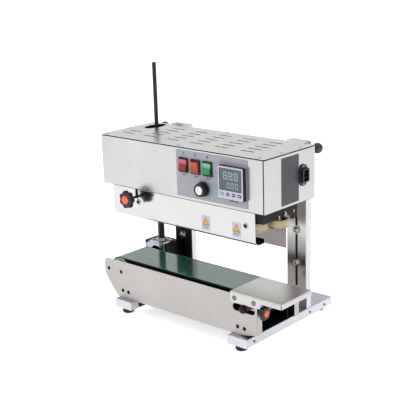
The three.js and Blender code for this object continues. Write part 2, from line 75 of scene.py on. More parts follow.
# --- finishes: how a paint or metal is mixed ---
# Every surface of the machine is sheet metal, cast or turned metal, moulded plastic or rubber.
# A wire carries a value that changes over the surface.
class Wire:
    """A node's socket. Arithmetic on it adds Math nodes, and node() adds any other node."""

    def __init__(self, socket):
        self.socket = socket

    def node(self, kind, settings, sockets, out=0):
        """Makes a node of this kind, applies its settings and sets or links its sockets."""
        made = self.socket.id_data.nodes.new(kind)
        for key, value in settings.items():
            setattr(made, key, value)
        for key, value in sockets.items():
            plug(made.inputs[key], value)
        return Wire(made.outputs[out])

    def maths(self, operation, first, second):
        return self.node("ShaderNodeMath", {"operation": operation}, {0: first, 1: second})

    def __add__(self, other):
        return self.maths("ADD", self, other)

    def __mul__(self, other):
        return self.maths("MULTIPLY", self, other)

    __radd__, __rmul__ = __add__, __mul__

    def noise(self, scale, detail=2.0, stretch=(1, 1, 1)):
        """Cloudy values about a half, drawn out along the direction of the smallest stretch."""
        longer = self.node("ShaderNodeVectorMath", {"operation": "MULTIPLY"},
                           {0: self, 1: stretch})
        return longer.node("ShaderNodeTexNoise", {},
                           {"Vector": longer, "Scale": scale, "Detail": detail})

    def axes(self):
        """The three coordinates, each as a wire."""
        split = self.socket.id_data.nodes.new("ShaderNodeSeparateXYZ")
        plug(split.inputs[0], self)
        return [Wire(output) for output in split.outputs]

    def mix(self, first, second):
        """The first colour, as rrggbb or a wire, where this wire is 0, and the second at 1."""
        ends = [end if isinstance(end, Wire) else tone(end) for end in (first, second)]
        return self.node("ShaderNodeMix", {"data_type": "RGBA"},
                         {0: self, 6: ends[0], 7: ends[1]}, 2)

    def relief(self, strength, distance):
        """A normal raised where this wire is high, by at most the distance in metres."""
        return self.node("ShaderNodeBump", {},
                         {"Height": self, "Strength": strength, "Distance": distance})


def plug(socket, value):
    """Links a wire to a socket, or sets the socket to a plain value."""
    if isinstance(value, Wire):
        socket.id_data.links.new(value.socket, socket)
    else:
        socket.default_value = value


def tone(shade):
    """A colour written as rrggbb, as the linear red, green, blue and opacity of a socket."""
    part = np.array([int(shade[at:at + 2], 16) for at in (0, 2, 4)]) / 255
    return (*np.where(part <= 0.04045, part / 12.92, ((part + 0.055) / 1.055) ** 2.4), 1.0)


slot_of = {}


def finish(name, slot, colour, rough, metallic=0.0, bumps=None, **fixed):
    """A finish and the slot its pieces go by. The colour is rrggbb, or two such and the pattern
    of the noise between them. The roughness is a number, or a base and layers of noise, each
    the share it adds and its pattern. Bumps are a strength, a distance and a pattern."""
    made = bpy.data.materials.new(name)
    made.use_nodes = True
    made.node_tree.nodes.new("ShaderNodeTexCoord")
    slot_of[made.name] = slot
    sockets, at = wires(made)
    plug(sockets["Metallic"], metallic)
    for key, value in fixed.items():
        plug(sockets[key.replace("_", " ")], value)
    if isinstance(colour, tuple):
        plug(sockets["Base Color"], at.noise(*colour[2:]).mix(*colour[:2]))
    elif colour:
        plug(sockets["Base Color"], tone(colour))
    if isinstance(rough, tuple):
        base, *layers = rough
        for share, *pattern in layers:
            base = at.noise(*pattern) * share + base
        rough = base
    plug(sockets["Roughness"], rough)
    if bumps:
        plug(sockets["Normal"], at.noise(*bumps[2:]).relief(*bumps[:2]))
    return made


def wires(paint):
    """The sockets of a finish's shader, and a wire with the place on the piece in metres."""
    nodes = paint.node_tree.nodes
    return nodes["Principled BSDF"].inputs, Wire(nodes["Texture Coordinate"].outputs["Object"])


# --- studio ---
# The machine stands on a white sweep that glows a little, in even white air, under three soft
# lamps: a broad one ahead and to the left, a smaller one to the right and one overhead.
FLOOR_HALF, FLOOR_GLOW, AIR_STRENGTH = 30, 0.68, 0.78
floor_mesh = bpy.data.meshes.new("studio_floor")
floor_mesh.from_pydata([(across * FLOOR_HALF, along * FLOOR_HALF, 0)
                        for across, along in ((-1, -1), (1, -1), (1, 1), (-1, 1))],
                       [], [(0, 1, 2, 3)])
floor_mesh.materials.append(finish("studio_white", None, ("f4f4f4", "f8f8f8", 0.6), 0.9,
                                   Emission_Color=(1, 1, 1, 1), Emission_Strength=FLOOR_GLOW))
studio_floor = bpy.data.objects.new("studio_floor", floor_mesh)
scene.collection.objects.link(studio_floor)

world = bpy.data.worlds.new("studio_air")
world.use_nodes = True
air = world.node_tree.nodes["Background"].inputs
plug(air["Color"], (1.0, 1.0, 1.0, 1.0))
plug(air["Strength"], AIR_STRENGTH)
scene.world = world

for name, spot, aim, size, power in (("front_lamp", (-1.5, -1.9, 1.7), (0, 0, 0.2), 1.6, 10),
                                     ("right_lamp", (2.0, -0.4, 1.3), (0, 0, 0.25), 1.0, 4),
                                     ("top_lamp", (0.1, 0.3, 2.3), (0, 0, 0.2), 1.8, 7)):
    light = bpy.data.lights.new(name, "AREA")
    light.shape, light.size, light.energy = "SQUARE", size, power
    away = np.subtract(spot, aim) / np.linalg.norm(np.subtract(spot, aim))
    side = np.cross([0, 1, 0.01], away)
    side /= np.linalg.norm(side)
    posed(name, light, side, np.cross(away, side), away, spot)

# --- base beams ---
# Two aluminium bars, sawn to length and broken at their edges, carry the machine across its
# depth. They are anodised a pale matt grey.
AXES = {"x": (1, 2, 0), "y": (0, 2, 1), "z": (0, 1, 2)}
DATUM = np.array([0, -6.5, 0])


def box(node):
    """The node's lowest and highest corners in millimetres. Lengths in depth are measured from a
    datum line that runs along the machine a little ahead of its footprint's middle."""
    return [1000 * np.array(corner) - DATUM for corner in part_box(node)]


def place(axis, flat, depth):
    """Points in space from points on a plane square to the axis, and their depth along it."""
    spot = np.empty(np.broadcast_shapes(flat[..., 0].shape, np.shape(depth)) + (3,))
    spot[..., AXES[axis][0]], spot[..., AXES[axis][1]] = flat[..., 0], flat[..., 1]
    spot[..., AXES[axis][2]] = depth
    return spot


def rounded(points, radius, steps=4, closed=True):
    """A path with each corner given way to the curve (1-s)^2 before + 2s(1-s) corner + s^2
    after, where before and after lie the radius away along the two edges. An open path keeps
    its ends."""
    corner = np.array(points, float)
    reach = np.broadcast_to(np.asarray(radius, float), len(corner))[:, None]
    ways = [np.roll(corner, turn, axis=0) - corner for turn in (1, -1)]
    before, after = [corner + way / np.linalg.norm(way, axis=1, keepdims=True) * reach
                     for way in ways]
    share = np.linspace(0, 1, steps + 1)[None, :, None]
    curve = ((1 - share) ** 2 * before[:, None] + 2 * share * (1 - share) * corner[:, None]
             + share ** 2 * after[:, None])
    if closed:
        return curve.reshape(-1, 2)
    return np.vstack([corner[:1], curve[1:-1].reshape(-1, 2), corner[-1:]])


def rectangle(a0, a1, b0, b1, radius=1.0, steps=4):
    """A rectangle between two values on each direction, with rounded corners."""
    return rounded([(a0, b0), (a1, b0), (a1, b1), (a0, b1)], radius, steps)


def face_of(axis, low, high, radius, inset=0.0):
    """The outline of a box seen along an axis, drawn in by the inset, with rounded corners."""
    first, second, _ = AXES[axis]
    return rectangle(low[first] + inset, high[first] - inset, low[second] + inset,
                     high[second] - inset, radius)


def skin(rings, loop=False):
    """A surface through rings of points: quads join each ring to the next. A loop closes on its
    first ring, and otherwise each end ring is capped. Gives the points and groups of faces."""
    number = np.arange(rings.shape[0] * rings.shape[1]).reshape(rings.shape[:2])
    beside = np.roll(number, -1, axis=1)
    ahead, beyond = np.roll(number, -1, axis=0), np.roll(beside, -1, axis=0)
    last = None if loop else -1
    quads = np.stack([number[:last], beside[:last], beyond[:last], ahead[:last]], axis=-1)
    quads = quads.reshape(-1, 4)
    return rings.reshape(-1, 3), [quads] if loop else [quads, number[:1, ::-1], number[-1:]]


def solid(axis, outline, start, end, edge=0.5, steps=3):
    """An outline carried along an axis. Near both ends it draws in along a quarter circle: by
    edge(1 - sin t) where it has gone edge(1 - cos t), for t from 0 to a quarter turn."""
    turn = np.linspace(0, np.pi / 2, steps + 1)
    drawn, gone = edge * (1 - np.sin(turn)), edge * (1 - np.cos(turn))
    along = np.concatenate([start + gone, (end - gone)[::-1]])
    inset = np.concatenate([drawn, drawn[::-1]])
    run = np.roll(outline, -1, axis=0) - np.roll(outline, 1, axis=0)
    outward = np.column_stack([run[:, 1], -run[:, 0]])
    outward /= np.linalg.norm(run, axis=1, keepdims=True)
    return skin(place(axis, outline[None] - outward[None] * inset[:, None, None], along[:, None]))


def circle(count):
    """Evenly spaced points on a circle of radius one."""
    turn = np.linspace(0, 2 * np.pi, count, endpoint=False)
    return np.column_stack([np.cos(turn), np.sin(turn)])


def turned(axis, centre, profile, sides=48, loop=False):
    """A profile of (radius, depth) points turned about the axis through the centre. A loop is a
    closed profile, for a piece with a bore."""
    profile = np.array(profile, float)
    flat = profile[:, :1, None] * circle(sides)[None] + np.array(centre)
    return skin(place(axis, flat, profile[:, 1:2]), loop)


def lathed(axis, centre, profile, radii, sides=48):
    """A turned piece whose profile has each corner rounded by its own radius."""
    return turned(axis, centre, rounded(profile, radii, closed=False), sides)


def build(name, shells, paint, body="head", replaces=(), slot=None, sharp=32):
    """Joins the shells into one mesh in metres with its faces outwards, smooth below the sharp
    angle, and puts it on its body, the head unless told. The slot, its own or its finish's, is
    looked up but not used."""
    starts = np.cumsum([0] + [len(points) for points, _ in shells])
    faces = [row for start, (_, groups) in zip(starts, shells) for group in groups
             for row in (group + start).tolist()]
    mesh = bpy.data.meshes.new(name)
    mesh.from_pydata((np.vstack([points for points, _ in shells]) + DATUM) / 1000, [], faces)
    work = bmesh.new()
    work.from_mesh(mesh)
    bmesh.ops.remove_doubles(work, verts=work.verts, dist=1e-6)
    bmesh.ops.recalc_face_normals(work, faces=work.faces)
    work.to_mesh(mesh)
    work.free()
    mesh.polygons.foreach_set("use_smooth", np.ones(len(mesh.polygons), bool))
    mesh.set_sharp_from_angle(angle=np.radians(sharp))
    mesh.materials.append(paint)
    made = bpy.data.objects.new(name, mesh)
    scene.collection.objects.link(made)
    made.modifiers.new("level_faces", "WEIGHTED_NORMAL").keep_sharp = True
    slot = slot or slot_of[paint.name]
    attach(made, body)
    if replaces:
        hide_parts(*replaces)
    return made


anodised = finish("anodised_aluminium", "aluminium", ("bbbcc4", "cbccd3", 25, 3),
                  (0.24, (0.18, 30, 3, (20, 1, 20))), 1.0, (0.12, 0.0002, 30, 3, (20, 1, 20)))
black_screw = finish("blackened_screw", "steel", "17171a", (0.3, (0.3, 900)), 0.6,
                     (0.2, 0.0001, 1500))


def socket_screw(axis, centre, face, outward, radius=2.6):
    """A low head on a face with a hollow in its middle, standing out one way along the axis."""
    depths = face + outward * np.array([-0.4, 0.9, 1.3, 1.3, 0.3, 0.3])
    radii = radius * np.array([1, 1, 0.8, 0.5, 0.45, 0.05])
    return turned(axis, centre, np.column_stack([radii, depths]), 20)


SIDES = ("left", "right")
BEAM_SCREWS_Y = (-128, 81, 140)
for side in SIDES:
    low, high = box(f"base_beam_{side}")
    build(f"beam_{side}", [solid("y", face_of("y", low, high, 2.4), low[1], high[1], 1.1)],
          anodised, "base", [f"base_beam_{side}"])
    screws = [socket_screw("x", (y, (low[2] + high[2]) / 2 - 1), face, way)
              for face, way in ((low[0], -1), (high[0], 1)) for y in BEAM_SCREWS_Y]
    build(f"beam_screws_{side}", screws, black_screw, "base")

# A short black angle lies along the left beam's inner side, under the drive end: a dark piece put
# there as painted shade on the beam's shaded inner side.
low, high = box("base_beam_left")
build("beam_shade_angle_left", [solid("x", rectangle(-128, -10, low[2] + 2, high[2] - 0.5, 1), high[0],
                                high[0] + 1.5, 0.3)], black_screw, "base", slot="black_paint")

# --- feet ---
# Four moulded rubber feet, each a short stub with a groove and a rounded sole, screwed up into
# the ends of the beams.
rubber = finish("rubber", "rubber", ("101010", "202021", 120, 4), (0.72, (0.2, 300)), 0.0,
                (0.35, 0.0002, 1200, 3))
for foot in [f"foot_{end}_{side}" for end in ("front", "rear") for side in SIDES]:
    low, high = box(foot)
    middle, top = (low + high)[:2] / 2, high[2]
    sole = [(0.4, 0), (11.6, 0), (14, 2.6), (14, 7.2), (13.1, 7.8), (13.1, 8.8), (13.8, 9.4),
            (13.8, top), (0.4, top)]
    build(f"{foot}_rubber",
          [lathed("z", middle, sole, [0.1, 1.6, 1.4, 0.4, 0.3, 0.3, 0.3, 0.1, 0.1])],
          rubber, "base", [foot])

# --- posts, slide plates and their bolts ---
# Each post is an aluminium tube with a slotted stainless plate on its front, which hangs from
# the head and slides on two dome-headed bolts, so that the head can be set to the bag's height.
# The left plate is painted black below its bright top: a painted dark reflection, for the dark
# things its stainless mirrors there.
stainless = finish("satin_stainless", "stainless", ("b2b1b1", "c3c2c1", 9, 3),
                   (0.2, (0.1, 14, 3), (0.14, 60, 2, (1, 30, 30))), 1.0,
                   (0.06, 0.0001, 60, 2, (1, 30, 30)))
bright = finish("polished_stainless", "polished", ("c0bfbd", "cecdcb", 7, 4),
                (0.14, (0.12, 80, 2, (1, 20, 1)), (0.12, 7, 4)), 1.0)
# A stainless for the conveyor's side plates: rougher as the real plates are, and with a darker
# base colour as painted shade, since these plates mirror less light than the head.
shaded_side_steel = finish("dull_stainless_painted_shade", "stainless", ("a5a19f", "b6b2b0", 11, 4),
              (0.26, (0.14, 25, 3), (0.16, 50, 3, (1, 25, 25))), 1.0,
              (0.08, 0.0001, 50, 3, (1, 25, 25)))
black_coat = finish("black_powder_coat", "black_paint", ("050506", "0e0e10", 35, 3),
                    (0.42, (0.2, 50, 3)), 0.0, (0.3, 0.00012, 1400, 3),
                    Specular_IOR_Level=0.22)
nickel = finish("nickel_plate", "steel", ("938e86", "b8b4ad", 90), (0.1, (0.2, 500, 3)), 1.0)


def stadium(a, b, length, width, steps=10):
    """A slot with half-round ends: its length runs along the first direction."""
    turn = np.linspace(-np.pi / 2, np.pi / 2, steps + 1)
    end = np.column_stack([np.cos(turn), np.sin(turn)]) * width / 2
    reach = np.array([(length - width) / 2, 0])
    return np.vstack([end + reach, -end - reach]) + (a, b)


def triangles_of(mesh):
    """A mesh's points, and its faces as triangles."""
    mesh.calc_loop_triangles()
    points = np.empty(len(mesh.vertices) * 3)
    faces = np.empty(len(mesh.loop_triangles) * 3, np.int32)
    mesh.vertices.foreach_get("co", points)
    mesh.loop_triangles.foreach_get("vertices", faces)
    return points.reshape(-1, 3), [faces.reshape(-1, 3)]


def sheet(axis, start, end, outline, edge, holes=()):
    """A flat sheet with holes: the area between its outlines is filled, given its thickness and
    a small round on every edge, and turned to lie square to the axis."""
    rim = bpy.data.curves.new("rim", "CURVE")
    rim.dimensions, rim.fill_mode = "2D", "BOTH"
    rim.bevel_depth, rim.bevel_resolution, rim.offset = edge, 1, -edge
    rim.extrude = (end - start) / 2 - edge
    for path in (outline, *holes):
        line = rim.splines.new("POLY")
        line.points.add(len(path) - 1)
        flat = np.column_stack([path, np.zeros(len(path)), np.ones(len(path))])
        line.points.foreach_set("co", flat.ravel())
        line.use_cyclic_u = True
    holder = bpy.data.objects.new("rim", rim)
    scene.collection.objects.link(holder)
    graph = bpy.context.evaluated_depsgraph_get()
    mesh = bpy.data.meshes.new_from_object(holder.evaluated_get(graph))
    points, faces = triangles_of(mesh)
    bpy.data.objects.remove(holder)
    bpy.data.curves.remove(rim)
    bpy.data.meshes.remove(mesh)
    return place(axis, points[:, :2], points[:, 2] + (start + end) / 2), faces


def upright_slot(middle, height, length):
    """The outline of a slot six millimetres wide that stands upright."""
    return stadium(0, 0, length, 6)[::-1, ::-1] + (middle, height)


DARK_REFLECTION_TOP = 233
for side in SIDES:
    low, high = box(f"post_tube_{side}")
    build(f"post_{side}", [solid("z", face_of("z", low, high, 1.8), low[2], high[2], 0.6)],
          anodised, "base", [f"post_tube_{side}"])
    low, high = box(f"slide_plate_{side}")
    middle = (low[0] + high[0]) / 2
    # The left plate's lower part is painted black as a painted dark reflection; its top stays
    # bright stainless.
    painted_dark_reflection = side == "left"
    plate = rectangle(low[0], high[0], low[2], DARK_REFLECTION_TOP if painted_dark_reflection else high[2], 2)
    build(f"slide_sheet_{side}",
          [sheet("y", low[1], high[1], plate, 0.35, [upright_slot(middle, 174, 172)])],
          black_coat if painted_dark_reflection else bright, "head", [f"slide_plate_{side}"])
    if painted_dark_reflection:
        bare = rectangle(low[0], high[0], DARK_REFLECTION_TOP - 0.6, high[2], 1)
        build("slide_sheet_bare_top",
              [sheet("y", low[1], high[1], bare, 0.3, [upright_slot(middle, 234, 54)])],
              bright)
    shade = rectangle(middle - 7, middle + 7, 80, 268, 1)
    build(f"slot_shade_{side}", [sheet("y", high[1] + 0.05, high[1] + 0.2, shade, 0.03)],
          rubber, "base", slot="black_paint")
    for height in ("lower", "upper"):
        low, high = box(f"post_bolt_{side}_{height}")
        spot, face = ((low + high) / 2)[[0, 2]], low[1] + 7
        dome = rounded([(0.2, face - 7), (3.6, face - 6.6), (6.6, face - 4.6), (7.6, face - 1.5),
                        (7.6, face - 1.2)], [0.1, 1.4, 1.8, 0.2, 0.1], closed=False)
        washer = [(10.2, face - 1.2), (10.5, face - 0.9), (10.5, face), (2.6, face),
                  (2.6, high[1]), (0.2, high[1])]
        build(f"dome_bolt_{side}_{height}", [turned("y", spot, [*dome, *washer])], nickel,
              "base", [f"post_bolt_{side}_{height}"])

# --- conveyor frame ---
# Two folded stainless side plates carry the rollers. The front one is cut back below the drive
# end, and both have a flange at the table end for the belt's tension screws.
cross_screw = finish("zinc_screw", "steel", "a9a7a2", (0.2, (0.3, 700, 3)), 1.0)
DRIVE_X, PLATE_FOOT, FOLD_FOOT, SHEET = -230.5, 161, 44, 1.5


def bore(a, b, radius, count=24):
    """A round hole's outline."""
    return (a, b) + radius * circle(count)


front_low, front_high = box("conveyor_front_plate")
rear_high = box("conveyor_rear_plate")[1]
roller_z = sum(box("idler_roller"))[2] / 2
end_x = front_high[0]
takeup = stadium(end_x - 37, roller_z, 62, 17)
drive_bore = bore(DRIVE_X, roller_z, 8.5)


def side_outline(top):
    """A side plate seen from the front: its drive end is rounded and slopes in below."""
    left, bottom = front_low[0], front_low[2]
    return rounded([(left, top), (left, 85), (left + 42, bottom), (PLATE_FOOT, bottom),
                    (end_x, FOLD_FOOT), (end_x, top)], [14, 12, 5, 8, 0.6, 0.6])


def end_flange(y0, y1, top, screw_y):
    """The fold at a side plate's table end, with the tension screw's hole in it."""
    return sheet("x", end_x - SHEET, end_x, rectangle(y0, y1, FOLD_FOOT, top - 8, 1), 0.3,
                 [bore(screw_y, roller_z, 3.4)])


front_y, rear_y = front_low[1], rear_high[1]
build("front_side_plate", [
    sheet("y", front_y, front_y + SHEET, side_outline(front_high[2]), 0.3, [takeup]),
    end_flange(front_y + 0.4, front_y + 17, front_high[2], front_y + 8.5)],
    shaded_side_steel, "base", ["conveyor_front_plate"])
build("rear_side_plate", [
    sheet("y", rear_y - SHEET, rear_y, side_outline(rear_high[2]), 0.3, [takeup, drive_bore]),
    end_flange(rear_y - 17, rear_y - 0.4, rear_high[2], rear_y - 8.5)],
    shaded_side_steel, "base", ["conveyor_rear_plate"])


def cross_head(axis, centre, face, outward, radius=3.0):
    """A low domed head with a cross cut into it: the dome falls off as the square of the
    distance from its middle, and dips inside two crossed grooves that narrow to its rim."""
    across = np.linspace(0.02, 1, 9)[:, None]
    ring = circle(48)
    narrow = np.minimum(abs(ring[:, 0]), abs(ring[:, 1]))[None]
    groove = (narrow * across < 0.14) & (across < 0.62)
    rise = 0.5 * radius * (1 - across ** 2) - np.where(groove, 0.3 * radius, 0)
    flat = across[..., None] * ring[None] * radius + np.array(centre)
    depth = face + outward * np.vstack([rise, np.full((1, len(ring)), -0.5)])
    return skin(place(axis, np.concatenate([flat, flat[-1:]]), depth))


rear_screws = [(-206, 53), (-187, 52), (156, 53), (175, 52)]
front_screws = [(-252, 101), (-209, 100), *rear_screws]
build("side_plate_screws",
      [cross_head("y", spot, front_y, -1, 4.8) for spot in front_screws]
      + [cross_head("y", spot, rear_y, 1, 4.8) for spot in rear_screws], black_screw, "base")

low, high = box("conveyor_inner_plate")
inner = rounded([(DRIVE_X, roller_z - 24), (low[0] + 36, low[2]), (high[0], low[2]),
                 (high[0], high[2]), (-219, high[2]), (DRIVE_X, roller_z + 24),
                 (low[0], roller_z + 8), (low[0], roller_z - 8)], [3, 6, 6, 6, 2, 2, 6, 6])
build("inner_support_plate", [sheet("y", low[1], high[1], inner, 0.3, [takeup, drive_bore])],
      black_coat, "base", ["conveyor_inner_plate"])
low, high = box("belt_bed")
build("belt_support", [solid("z", face_of("z", low, high, 2), low[2], high[2], 0.6)],
      black_coat, "base", ["belt_bed"])
# A black pan under the conveyor, a black liner inside the front plate and a black frame behind
# the take-up slot are painted shade: dark sheets that keep the floor's light out of the
# conveyor's inside.
build("painted_shade_pan", [
    sheet("z", 46, 47, rectangle(-218, end_x - 3, front_y + 2, rear_y - 2, 2), 0.1),
    sheet("y", front_y + 1.6, front_y + 2.2, rectangle(-214, end_x - 3, 47, 118, 4), 0.1,
          [takeup]),
    sheet("y", front_y + 2.4, front_y + 3,
          rectangle(end_x - 73, end_x - 6, roller_z - 11, roller_z + 11, 1), 0.1,
          [stadium(end_x - 37, roller_z, 60, 15.6)])], black_coat, "base")

# --- rollers ---
# Turned steel drums: the drive roller takes the bevel gear's shaft, and the idler's axle ends in
# a black dome nut that clamps it in the take-up slot.
drum_steel = finish("turned_steel", "steel", ("a6a39e", "c4c2be", 60),
                    (0.2, (0.25, 40, 2, (1, 25, 1))), 1.0)
DRUM_FRONT, DRUM_REAR, NUT_FACE = -122, -30, -142.4
barrel = [(7.5, DRUM_FRONT), (26.6, DRUM_FRONT), (28, DRUM_FRONT + 1.4), (28, DRUM_REAR - 1.4),
          (26.6, DRUM_REAR), (7.5, DRUM_REAR)]
barrel_radii = [0.1, 0.5, 0.5, 0.5, 0.5, 0.1, 0.8, 0.1]
low, high = box("drive_roller")
build("drive_drum", [lathed("y", (DRIVE_X, roller_z), [
    (0.2, low[1]), (7.4, low[1]), *barrel, (7.4, high[1]), (0.2, high[1])],
    [0.1, 0.8, *barrel_radii], 64)], drum_steel, "drive_roller", ["drive_roller"])
low, high = box("idler_roller")
axle_at = ((low[0] + high[0]) / 2, roller_z)
build("idler_drum", [lathed("y", axle_at, [
    (0.2, NUT_FACE), (7.5, NUT_FACE), *barrel, (7.4, high[1]), (0.2, high[1])],
    [0.1, 0.1, *barrel_radii], 64)], drum_steel, "idler_roller", ["idler_roller"])
build("idler_nut", [lathed("y", axle_at, [
    (0.2, low[1]), (5.6, low[1] + 0.9), (8.4, low[1] + 4.6), (8.4, low[1] + 8.4),
    (9.4, low[1] + 8.6), (9.4, NUT_FACE), (0.2, NUT_FACE)],
    [0.1, 2.2, 1.4, 0.2, 0.2, 0.1, 0.1])], black_screw, "idler_roller")

# --- conveyor belt ---
# One endless belt of green PVC with a glossy face and a fabric edge, welded at a slanting seam
# that hardly shows. It wraps both rollers. Its lower run, which lies in the dark, is painted near
# black and has no gloss coat: painted shade.
belt_green = finish("green_belt", "belt_green", None, (0.1, (0.1, 30, 3)),
                    Coat_Roughness=0.1, Coat_IOR=1.75)
sockets, at = wires(belt_green)
worn = at.noise(16, 4, (1, 4, 1))
# The mask is one on the upper run. Below it the belt is painted near black (06120d) as painted
# shade.
upper_run_above_painted_shade = worn.node("ShaderNodeMapRange", {}, {0: at.axes()[2], 1: 0.1, 2: 0.124})
plug(sockets["Base Color"], upper_run_above_painted_shade.mix("06120d", worn.mix("1c5442", "28624f")))
plug(sockets["Coat Weight"], upper_run_above_painted_shade * (worn * 0.3 + 0.65))


def endless(axis, low, high, section, radii):
    """A loop that fills a box: a section of (width, depth) points with rounded corners is
    carried round a path of two straights and two half circles, with its depth inwards."""
    first, second, _ = AXES[axis]
    half = (high[second] - low[second]) / 2
    middle = (low[second] + high[second]) / 2
    path = stadium((low[first] + high[first]) / 2, middle, high[first] - low[first], 2 * half, 40)
    spine = np.clip(path[:, 0], low[first] + half, high[first] - half)
    inward = (np.column_stack([spine, np.full(len(path), middle)]) - path) / half
    rim = rounded(section, radii, 2)
    return skin(place(axis, path[:, None] + inward[:, None] * rim[None, :, 1:],
                      rim[None, :, 0]), loop=True)


low, high = box("conveyor_belt")
build("belt", [endless("y", low, high, [(low[1], 0), (low[1] + 3, 0), (high[1] - 3, 0),
                                        (high[1], 0), (high[1], 2.5), (low[1], 2.5)],
                       [0.6, 0.1, 0.1, 0.6, 0.6, 0.6])],
      belt_green, "base", ["conveyor_belt"], sharp=40)

# --- belt tension knobs ---
# Moulded star knobs with a press-in orange cap, on steel screws that run in through the flanges
# and push the idler's axle blocks along.
black_plastic = finish("black_plastic", "black_plastic", ("070708", "0f0f11", 80, 3),
                       (0.2, (0.18, 160, 3)), 0.0, (0.15, 0.0001, 2200, 2),
                       Specular_IOR_Level=0.4)
cap_orange = finish("orange_cap", "orange_cap", ("ee4f27", "fb6238", 60, 2), (0.35, (0.15, 300)))


def lobes(a, b, radius, count, depth, around=16):
    """A round outline with broad swells between narrow notches: radius (1 - 2 depth (1 - wave)),
    where wave is the square root of cos squared (count t / 2), eased by a small constant."""
    turn = np.linspace(0, 2 * np.pi, count * around, endpoint=False)
    wave = np.sqrt((np.cos(count * turn / 2) ** 2 + 0.03) / 1.03)
    reach = radius * (1 - 2 * depth * (1 - wave))
    return (a, b) + reach[:, None] * circle(count * around)


for end in ("front", "rear"):
    knob = f"tension_knob_{end}"
    low, high = box(knob)
    spot, root, cap = ((low + high) / 2)[1:], low[0], high[0]
    build(f"tension_star_{end}", [
        solid("x", lobes(*spot, 15.5, 6, 0.1), cap - 13.5, cap - 1.6, 2.6, 5),
        lathed("x", spot, [(0.3, root + 29.6), (7, root + 29.6), (7.6, cap - 13),
                           (0.3, cap - 13)], [0.1, 0.6, 0.1, 0.1], 32)],
        black_plastic, knob, [knob])
    build(f"tension_screw_{end}", [turned("x", spot, [
        (0.3, root), (2.4, root), (3, root + 0.6), (3, root + 30), (0.3, root + 30)], 20)],
        nickel, knob)
    build(f"tension_cap_{end}", [lathed("x", spot, [
        (0.3, cap - 3), (7.4, cap - 3), (7.4, cap - 0.9), (5, cap), (0.3, cap)],
        [0.1, 0.1, 0.7, 1.5, 0.1], 36)], cap_orange, knob)

# --- feed table ---
# A polished stainless tray screwed over the table end of the conveyor. Its front and end skirts
# are separate folds, so that a fine line shows below the top and a notch at the corner.
table_steel = finish("table_stainless", "stainless", ("dad7d3", "e6e4e1", 9, 3),
                     (0.26, (0.12, 60, 2, (1, 30, 30))), 1.0)
SKIRT_FOOT, SCREW_X, SCREW_Z = 122, (152, 205), 120
low, high = box("table_plate")
front, top = low[1], high[2]
skirt = rounded([(low[0], top - 1.9), (low[0], low[2]), (222, low[2]), (224, SKIRT_FOOT),
                 (high[0] - 2, SKIRT_FOOT), (high[0] - 2, top - 1.9)],
                [0.5, 3, 2, 2, 0.6, 0.5])
build("table_top", [sheet("z", top - SHEET, top, face_of("z", low, high, 1.2), 0.4)],
      table_steel, "base", ["table_plate"])
build("table_skirts", [
    sheet("y", front, front + SHEET, skirt, 0.35),
    sheet("x", high[0] - SHEET, high[0],
          rectangle(front + 2, high[1], SKIRT_FOOT, top - 1.9, 0.6), 0.35)], stainless, "base")
build("table_screws", [cross_head("y", (x, SCREW_Z), front - 0.3, -1, 4) for x in SCREW_X],
      nickel, "base")
cup = [(0.3, front - 0.35), (5.6, front - 0.35), (5.6, front), (0.3, front)]
build("table_screw_cups", [turned("y", (x, SCREW_Z), cup, 32) for x in SCREW_X], black_screw,
      "base")

# --- drive shaft and bevel gears ---
# A black-oxided steel rod stands through the head. Its sleeve ends in a bevel gear that meshes
# with the one on the drive roller.
oxide = finish("black_oxide", "black_paint", ("101012", "1d1d20", 45, 3),
               (0.2, (0.2, 30, 3, (4, 4, 1))), 0.35)
SLEEVE_TOP, GEAR_RADII = 262, (7, 12.5)
low, high = box("drive_shaft")
centre = ((low + high) / 2)[:2]
build("shaft_rod", [lathed("z", centre, [
    (0.2, low[2]), (8.5, low[2]), (8.5, SLEEVE_TOP), (5, SLEEVE_TOP + 3), (5, high[2] - 0.8),
    (4.2, high[2]), (0.2, high[2])], [0.1, 0.6, 1, 0.8, 0.4, 0.4, 0.1])],
    oxide, "drive_shaft", ["drive_shaft"])


def bevel_gear(axis, spot, small_at, large_at, teeth=18):
    """A toothed cone: its radius runs evenly from small to large and dips a tenth between
    teeth, by a wave squared off with a hyperbolic tangent."""
    share = np.linspace(0, 1, 5)[:, None]
    turn = np.linspace(0, 2 * np.pi, teeth * 8, endpoint=False)[None]
    tooth = 0.95 + 0.05 * np.tanh(3 * np.cos(teeth * turn))
    small, large = GEAR_RADII
    reach = (small + (large - small) * share) * tooth
    flat = reach[..., None] * circle(teeth * 8)[None] + np.array(spot)
    return skin(place(axis, flat, small_at + (large_at - small_at) * share))


low, high = box("bevel_gear_shaft")
build("bevel_pinion_shaft", [bevel_gear("z", centre, low[2], high[2])], drum_steel,
      "drive_shaft", ["bevel_gear_shaft"])
low, high = box("bevel_gear_roller")
build("bevel_pinion_roller", [bevel_gear("y", (DRIVE_X, roller_z), high[1], low[1])],
      drum_steel, "drive_roller", ["bevel_gear_roller"])


